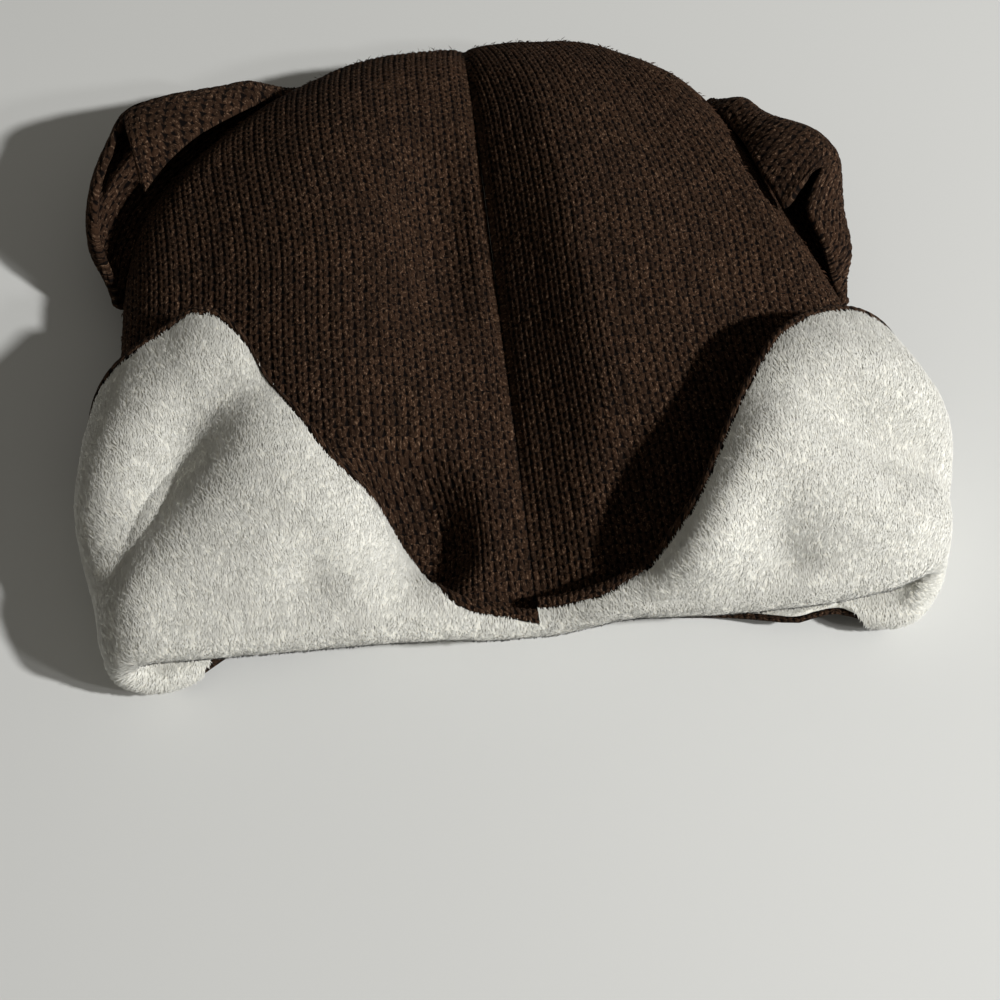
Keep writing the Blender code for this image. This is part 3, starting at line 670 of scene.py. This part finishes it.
def tufts(name, grid, normals, size, seed):
    """Short fibres on a grid of cloth: slim closed leaves, low at the root. Size is their number,
    length, half width, height of the tip, and how much their directions differ."""
    count, length, half_width, lift, spread = size
    rng = np.random.default_rng(seed)
    across, along = grid[:-1, 1:] - grid[:-1, :-1], grid[1:, :-1] - grid[:-1, :-1]
    area = np.linalg.norm(np.cross(along, across), axis=-1)
    cells = rng.choice(area.size, count, p=area.ravel() / area.sum())
    row, col = np.divmod(cells, grid.shape[1] - 1)
    a, b = rng.random((2, count, 1))
    root = (grid[row, col] * (1 - a) * (1 - b) + grid[row + 1, col] * a * (1 - b)
            + grid[row, col + 1] * (1 - a) * b + grid[row + 1, col + 1] * a * b)
    out = unit(normals[row, col])
    up = unit(grid[row + 1, col] - grid[row, col])
    sideways = unit(np.cross(out, up))
    clump = unevenness(root, 0.0030, seed + 1)[:, None]
    lean = unit(up + sideways * (rng.normal(0, spread, (count, 1)) + 0.5 * clump))
    aside = np.cross(out, lean)
    long = length * rng.uniform(0.6, 1.25, (count, 1))
    width = half_width * rng.uniform(0.6, 1.2, (count, 1))
    tip = lift * rng.uniform(0.5, 1.5, (count, 1))
    corners = [root + aside * width, root - aside * width,
               root + lean * long * 0.4 + out * tip * 0.8, root + lean * long + out * tip]
    points = np.stack(corners, 1).reshape(-1, 3)
    first = np.arange(count)[:, None] * 4
    leaf = ((0, 1, 2), (0, 2, 3), (1, 3, 2), (0, 3, 1))
    faces = np.concatenate([first + np.array(face) for face in leaf])
    mesh = bpy.data.meshes.new(name)
    mesh.from_pydata(points.tolist(), [], faces.tolist())
    mesh.shade_smooth()
    mesh.normals_split_custom_set_from_vertices(np.repeat(out, 4, axis=0).tolist())
    obj = bpy.data.objects.new(name, mesh)
    bpy.context.scene.collection.objects.link(obj)
    return obj


# Dark brown wool, single fibres worked loose from the knit. They are drawn 0.05 mm wide, over twice
# their real width. The eye gets a faint brown fuzz along the outline.
loose_wool, shader = new_material("dark brown wool fibre, loose", Base_Color=linear("#4a3426"),
                                  Roughness=0.9, Specular_IOR_Level=0.1)
# For each half: number, length, half width, height of the tip and spread
LOOSE = (4000, 0.0014, 0.000025, 0.0005, 2.0)

for side, word in WORDS.items():
    piece, shown, shown_normals = knit_half(f"outer_hat_{word}", side)
    fuzz = tufts(f"wool_fuzz_{word}", shown, shown_normals, LOOSE, 80 + side)
    fuzz.data.materials.append(loose_wool)
    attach(fuzz, "root")
    piece.data.materials.append(wool)
    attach(piece, "root")
    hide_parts(f"knit_{word}")

# Ears: a double layer of the same knit, sewn along the side of the crown, cupped towards the
# middle, with the upper end folded over as a lapel whose free corner points to the mouth.
EAR_REACH = {-1: 0.0165, 1: 0.0145}
EAR_RISE = 0.0165
EAR_THICKNESS = 0.0028
EAR_CLEARANCE = 0.0001
# The root's share of the way round the crown, and the shares of the way up of its two ends
EAR_ROOT = 0.515
EAR_ROOTS = {-1: (0.835, 0.418), 1: (0.700, 0.318)}
# Reach and rise along the ear from its upper end, as shares
EAR_COLUMNS = ("along", "reach_left", "reach_right", "rise_left", "rise_right")
EAR_TABLE = (
    (0.00, 0.28, 0.40, 0.42, 0.42),
    (0.12, 0.40, 0.43, 0.52, 0.50),
    (0.28, 0.66, 0.52, 0.76, 0.68),
    (0.38, 0.90, 0.74, 0.92, 0.87),
    (0.46, 1.08, 0.96, 0.99, 0.98),
    (0.54, 0.99, 1.03, 1.00, 1.00),
    (0.66, 0.84, 0.98, 0.95, 0.97),
    (0.80, 0.60, 0.76, 0.80, 0.83),
    (0.92, 0.36, 0.50, 0.58, 0.60),
    (1.00, 0.25, 0.42, 0.42, 0.45),
)
# The ear's profile, out and up in shares of reach and rise: from the root to the rim, and on over
# the rim as the lapel
EAR_CUPS = {
    -1: ((0.00, 0.00), (0.34, -0.03), (0.72, 0.10), (1.00, 0.40), (1.03, 0.72), (0.88, 0.98)),
    1: ((0.00, 0.00), (0.34, -0.03), (0.76, 0.10), (1.05, 0.36), (1.04, 0.68), (0.82, 0.94)),
}
EAR_LAPELS = {
    -1: ((0.62, 1.07), (0.30, 1.06), (-0.10, 0.94)),
    1: ((0.56, 1.03), (0.16, 1.01), (-0.34, 0.82)),
}
# How far the lower half of the ear leans in over the crown
EAR_LEAN = {-1: 0.10, 1: 0.95}
# Along the ear: where the lapel ends its full width, where it has gone, and how far its edge is
# pulled towards the mouth
LAPEL_FULL = {-1: 0.42, 1: 0.54}
LAPEL_GONE = {-1: 0.50, 1: 0.62}
LAPEL_SKEW = {-1: 0.24, 1: 0.15}
# The columns that a row has no room for are drawn together in this last stretch before its edge
EDGE_ROOM = 0.004
EAR_SAMPLES = 240


def ear_point(side, along, share):
    """The middle of the ear's cloth: along from its upper end, and share of the way from the root
    over the rim to the lapel's edge. Also whether that is past the rim."""
    profile = np.array(EAR_CUPS[side] + EAR_LAPELS[side])
    chord = running_length(profile, 0)
    rim_at = chord[len(EAR_CUPS[side]) - 1]
    samples = np.linspace(0, chord[-1], EAR_SAMPLES)
    path = share * chord[-1]
    outs = np.interp(path, samples, smooth_curve(chord, profile[:, 0], samples))
    rises = np.interp(path, samples, smooth_curve(chord, profile[:, 1], samples))
    leaning = ease((along - LAPEL_FULL[side]) / 0.22) * np.clip(rises, 0, 1) ** 1.5
    outs = outs - EAR_LEAN[side] * leaning
    folded = np.clip((path - rim_at) / (chord[-1] - rim_at), 0, 1)
    along = along + LAPEL_SKEW[side] * folded * np.clip(along / LAPEL_FULL[side], 0, 1)
    top_end, mouth_end = EAR_ROOTS[side]
    here, normal, _ = crown_frame(side, EAR_ROOT, top_end + (mouth_end - top_end) * along)
    knots = column(EAR_TABLE, EAR_COLUMNS, "along")
    reach = smooth_curve(knots, column(EAR_TABLE, EAR_COLUMNS, "reach_" + WORDS[side]), along)
    rise = smooth_curve(knots, column(EAR_TABLE, EAR_COLUMNS, "rise_" + WORDS[side]), along)
    taper = 0.3 + 0.7 * ease(np.minimum(along, 1 - along) / 0.16)
    out = unit(normal * np.array([1, 1, 0]))
    points = here + out * (EAR_CLEARANCE + taper * EAR_REACH[side] * reach * outs)[..., None]
    points[..., 2] += taper * EAR_RISE * rise * rises
    return points, path > rim_at


def ear_grid(side, root_length):
    """The ear's grid, which follows the loops. For its rows: share of the way along, and length of
    the cloth from the root. For its points: distance and share of the way from the root."""
    alongs = np.linspace(0, 1, int(root_length / COURSE * ROWS_A_COURSE) + 1)[:, None]
    shares = np.linspace(0, 1, EAR_SAMPLES)
    lines, past_rim = ear_point(side, alongs, shares)
    runs = running_length(lines, 1)
    rim_run = runs[:, np.sum(~past_rim) - 1, None]
    lapel = 1 - ease((alongs - LAPEL_FULL[side]) / (LAPEL_GONE[side] - LAPEL_FULL[side]))
    ends = rim_run + (runs[:, -1:] - rim_run) * lapel
    place = np.arange(int(np.max(ends) / WALE * COLUMNS_A_WALE) + 1) * WALE / COLUMNS_A_WALE
    kept = ends - EDGE_ROOM
    squeeze = EDGE_ROOM / np.maximum(place[-1] - kept, EDGE_ROOM)
    place = np.minimum(np.where(place > kept, kept + (place - kept) * squeeze, place), ends)
    share = np.array([np.interp(p, r, shares) for p, r in zip(place, runs)])
    return alongs, ends, place, share


def ear_sheet(name, side):
    top_end, mouth_end = crown_column("along", np.array(EAR_ROOTS[side]))
    root_length = CROWN_LENGTH * abs(top_end - mouth_end)
    alongs, ends, place, share = ear_grid(side, root_length)
    here, past_rim = ear_point(side, alongs, share)
    step = 4e-3
    low, high = np.clip(alongs - step, 0, 1), np.clip(alongs + step, 0, 1)
    inner, outer = np.clip(share - step, 0, 1), np.clip(share + step, 0, 1)
    onward = ear_point(side, high, share)[0] - ear_point(side, low, share)[0]
    outward = ear_point(side, alongs, outer)[0] - ear_point(side, alongs, inner)[0]
    normal = unit(np.cross(onward, outward)) * side
    # The wales run along the ear, and on the lapel across it
    wales = np.where(past_rim, alongs * root_length / WALE, place / WALE)
    courses = np.where(past_rim, place / COURSE, alongs * root_length / COURSE)
    sideways, upwards = unevenness(here, 0.006, 51), unevenness(here, 0.0035, 52)
    loops = stitch_height(wales + 0.07 * sideways, courses + 0.2 * upwards)
    to_edge = np.minimum(np.minimum(alongs, 1 - alongs) * root_length, ends - place)
    half = EAR_THICKNESS / 2
    thick = half * np.sqrt(np.clip(1 - (1 - np.clip(to_edge / half, 0, 1)) ** 2, 0, 1)) + 0.0001
    carve = 0.85 * YARN_DEPTH * (1 - loops) * ease(thick / half)
    carve += unevenness(here, 0.009, 53) * 0.0002 + 0.0002
    front = here + normal * (thick - carve)[..., None]
    back = here - normal * (thick - carve)[..., None]

    n_rows, wide = place.shape
    start = (np.arange(n_rows - 1)[:, None] * wide + np.arange(wide - 1)).ravel()
    quads = np.stack([start, start + 1, start + wide + 1, start + wide], 1)
    second = n_rows * wide
    faces = quads.tolist() + (quads[:, ::-1] + second).tolist()
    rim = list(range(wide)) + [row * wide + wide - 1 for row in range(1, n_rows)]
    rim += [(n_rows - 1) * wide + k for k in range(wide - 2, -1, -1)]
    rim += [row * wide for row in range(n_rows - 2, 0, -1)]
    faces += [[j, i, i + second, j + second] for i, j in zip(rim, rim[1:] + rim[:1])]
    if side > 0:
        faces = [face[::-1] for face in faces]
    points = np.concatenate([front.reshape(-1, 3), back.reshape(-1, 3)]) + PLACE
    uv = np.tile(np.stack([wales, courses], -1).reshape(-1, 2), (2, 1))
    return cloth_object(name, points, faces, uv, {"plain": np.full(len(points), 0.1)})


for side, word in WORDS.items():
    piece = ear_sheet(f"folded_ear_{word}", side)
    piece.data.materials.append(wool)
    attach(piece, "root")
    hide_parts(f"ear_{word}")

# Lining: off-white polyester fleece with a short raised pile, in two halves. It covers the inside
# of the crown, goes round the fold of the brim and shows on the turned-up flaps.
PILE_SWELL = 0.00022
# Inside the crown, the rows are closer together up to this distance from the mouth
LINING_NEAR = 0.04
NEAR_ROW = 0.0013
FAR_ROW = 0.005
# Round the hat, the columns are closer together up to this share of half the girth
LINING_SHOWN = 0.72
LINING_COLUMNS = 200
LINING_FRONT_COLUMNS = 24
LINING_TURN_ROWS = 16
LINING_FLAP_ROWS = 88
# The fleece ends this far short of the knit, and its cut edge is rounded: steps on along the cloth
# and down from its face, in millimetres
LINING_SHORT = 0.0005
LINING_EDGE = ((0.12, 0.10), (0.38, 0.45), (0.50, 0.95), (0.40, 1.35))


def lining_half(name, side):
    """The fleece's half, and the grid of what shows of it for the pile to stand on."""
    outside = KNIT + LAYER_GAP
    inside = outside + FLEECE
    far = np.arange(LINING_NEAR, crown_run(side)[-1] - 0.004, FAR_ROW)
    distances = np.concatenate([np.arange(0.0, LINING_NEAR, NEAR_ROW), far])[::-1, None]
    girth = running_length(crown_point(side, np.linspace(0.0, 1.0, ROUND_SAMPLES), 0.0), 0)
    shares = np.concatenate([np.linspace(0, LINING_SHOWN, LINING_COLUMNS, endpoint=False),
                             np.linspace(LINING_SHOWN, 1, LINING_FRONT_COLUMNS)])
    around = np.interp(shares * girth[-1], girth, np.linspace(0.0, 1.0, ROUND_SAMPLES))
    here, normal, _ = crown_frame(side, around, crown_rows(side, distances))
    paths, end = turned_paths(side, around, LINING_TURN_ROWS, LINING_FLAP_ROWS, LINING_SHORT)
    turned = [turned_point(side, around, path, inside) for path in paths]
    edge_paths = [end + ahead * 0.001 for ahead, _ in LINING_EDGE]
    edge = [turned_point(side, around, path, inside - lower * 0.001)
            for path, (_, lower) in zip(edge_paths, LINING_EDGE)]
    rows = np.concatenate([here - normal * inside, [point for point, _ in turned + edge]])
    normals = np.concatenate([-normal, [-out for _, out in turned + edge]])
    backs = [point + out * FLEECE for point, out in turned]
    back = np.concatenate([here - normal * outside, backs, backs[-1:]])
    # The pile swells and sinks a little, but not in the seams
    off_seam = np.minimum(ease(shares / 0.004), ease((1 - shares) / 0.004))
    swell = unevenness(rows, 0.0011, 61) * 0.25 + unevenness(rows, 0.0045, 62)
    rows = rows + normals * (swell * PILE_SWELL * off_seam)[..., None]
    n_rows, n_columns = rows.shape[:2]
    n_shown = n_rows - len(edge)
    some_rows = sorted(set(range(0, n_shown, 2)) | {n_shown - 1}) + [n_rows - 1]
    some_columns = sorted(set(range(0, n_columns, 5)) | {n_columns - 1})
    u = np.broadcast_to(shares * girth[-1], (n_rows, n_columns))
    v = np.concatenate([-distances * np.ones_like(around), paths + edge_paths])
    obj = closed_cloth(name, side, rows, back, np.stack([u, v], -1) * 1000, some_rows, some_columns,
                       (inside, outside), (0.0, 0.0), side > 0)
    # The pile also stands on the twelve rows inside the mouth
    shown = (slice(len(distances) - 12, n_shown), slice(0, LINING_COLUMNS))
    return obj, rows[shown] + PLACE, normals[shown]


# Off-white polyester fleece, brushed and sheared. The eye gets a matt, slightly translucent pile
# in short streaks, with light edges and soft warm grey shadows.
fleece, shader = new_material("off-white polyester fleece, brushed", Roughness=0.95,
                              Subsurface_Weight=0.25, Subsurface_Radius=(1.0, 0.9, 0.75),
                              Subsurface_Scale=0.0016, Sheen_Weight=0.18, Sheen_Roughness=0.4,
                              Specular_IOR_Level=0.2)
cloth_map = add(fleece, "ShaderNodeUVMap", uv_map="stitches")
# Streaks of the pile, 0.5 mm wide and 2 mm long
streaked = add(fleece, "ShaderNodeMapping",
               {"Vector": cloth_map.outputs["UV"], "Scale": (1.0, 0.3, 1.0)})
streaks = add(fleece, "ShaderNodeTexNoise",
              {"Vector": streaked.outputs[0], "Scale": 1.5, "Detail": 4.0, "Roughness": 0.6})
place = add(fleece, "ShaderNodeTexCoord")
soft = add(fleece, "ShaderNodeTexNoise",
           {"Vector": place.outputs["Object"], "Scale": 70.0, "Detail": 2.0})
tone = add(fleece, "ShaderNodeMix",
           {0: streaks.outputs["Fac"], "A": linear("#d3d1c6"), "B": linear("#f0efe7")},
           data_type="RGBA")
tone = add(fleece, "ShaderNodeMix",
           {0: soft.outputs["Fac"], "A": tone.outputs["Result"], "B": linear("#e6e4da")},
           data_type="RGBA")
depth = add(fleece, "ShaderNodeMath", {0: streaks.outputs["Fac"], 1: 0.0006}, operation="MULTIPLY")
bump = add(fleece, "ShaderNodeBump", {"Height": depth.outputs[0], "Distance": 1.0, "Strength": 0.5})
fleece.node_tree.links.new(tone.outputs["Result"], shader.inputs["Base Color"])
fleece.node_tree.links.new(bump.outputs[0], shader.inputs["Normal"])

# Off-white polyester fibre, sheared to 1.4 mm and brushed down in tufts, which are drawn coarser
# than the real ones. The eye gets light tips with warm grey between them.
fibre, shader = new_material("off-white polyester fibre, sheared", Roughness=0.95,
                             Subsurface_Weight=0.25, Subsurface_Radius=(1.0, 0.9, 0.75),
                             Subsurface_Scale=0.0016, Sheen_Weight=0.15, Specular_IOR_Level=0.2)
place = add(fibre, "ShaderNodeTexCoord")
# Clumps of the pile, about 2 mm across
clumps = add(fibre, "ShaderNodeTexNoise",
             {"Vector": place.outputs["Object"], "Scale": 480.0, "Detail": 2.0})
tone = add(fibre, "ShaderNodeMix",
           {0: clumps.outputs["Fac"], "A": linear("#d8d6cb"), "B": linear("#f3f2eb")},
           data_type="RGBA")
fibre.node_tree.links.new(tone.outputs["Result"], shader.inputs["Base Color"])
# For each half: number, length, half width, height of the tip and spread
PILE = (40000, 0.0014, 0.00022, 0.00020, 0.30)

for side, word in WORDS.items():
    piece, shown, shown_normals = lining_half(f"fleece_lining_{word}", side)
    piece.data.materials.append(fleece)
    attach(piece, "root")
    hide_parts(f"lining_{word}")
    hair = tufts(f"fleece_pile_{word}", shown, shown_normals, PILE, 70 + side)
    hair.data.materials.append(fibre)
    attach(hair, "root")

# Table: a plain pale grey top that the hat lies on. It is one flat board, painted matt with a
# roller, and reaches past the picture on all sides.
bpy.ops.object.select_all(action="DESELECT")
bpy.ops.mesh.primitive_plane_add(size=6.0, location=(0.0, 0.0, -0.0001))
table_top = bpy.context.active_object
table_top.name = "table_top"
bpy.ops.object.transform_apply(location=True, rotation=True, scale=True)
# Pale grey paint, rolled matt. The eye gets an even grey with very faint clouds.
paint, shader = new_material("pale grey paint, rolled matt", Roughness=0.7)
place = add(paint, "ShaderNodeTexCoord")
shade = add(paint, "ShaderNodeTexNoise",
            {"Vector": place.outputs["Object"], "Scale": 4.0, "Detail": 2.0})
tone = add(paint, "ShaderNodeMix",
           {0: shade.outputs["Fac"], "A": linear("#d7d8d7"), "B": linear("#dddedd")},
           data_type="RGBA")
paint.node_tree.links.new(tone.outputs["Result"], shader.inputs["Base Color"])
table_top.data.materials.append(paint)

# Light: a lamp to the right and a little in front, with a weaker one beside it, and the room's
# own dim, warm light
HAT_MIDDLE = Vector((0.0, -0.02, 0.02))
for name, travel, away, power, size in (("lamp", (-0.80, 0.38, -0.66), 1.6, 26.0, 0.10),
                                        ("second_lamp", (-0.76, 0.50, -0.56), 1.9, 5.5, 0.14)):
    lamp = bpy.data.lights.new(name, "AREA")
    lamp.shape = "DISK"
    lamp.size = size
    lamp.energy = power
    lamp.color = (1.0, 0.995, 0.975)
    lamp_object = bpy.data.objects.new(name, lamp)
    lamp_object.location = HAT_MIDDLE - Vector(travel).normalized() * away
    lamp_object.rotation_euler = Vector(travel).to_track_quat("-Z", "Y").to_euler()
    bpy.context.scene.collection.objects.link(lamp_object)
room = bpy.data.worlds.new("room")
room.use_nodes = True
room.node_tree.nodes["Background"].inputs["Color"].default_value = (1.0, 0.96, 0.86, 1.0)
room.node_tree.nodes["Background"].inputs["Strength"].default_value = 0.14
bpy.context.scene.world = room
bpy.context.scene.view_settings.view_transform = "Standard"

# Camera: above the mouth, looking down at the back of the hat. The picture's half width and the
# focal length are in pixels.
HALF_PICTURE = 500
FOCAL_LENGTH = 2123
eye = Vector((-0.031223, -0.283158, 0.459137))
aim = Vector((-0.003587, -0.040602, 0.0))
camera = bpy.data.cameras.new("camera")
camera.sensor_width = 36.0
camera.angle = 2 * math.atan(HALF_PICTURE / FOCAL_LENGTH)
camera.clip_start = 0.01
camera_object = bpy.data.objects.new("camera", camera)
camera_object.location = eye
camera_object.rotation_euler = (aim - eye).to_track_quat("-Z", "Y").to_euler()
bpy.context.scene.collection.objects.link(camera_object)
bpy.context.scene.camera = camera_object

bpy.context.view_layer.update()
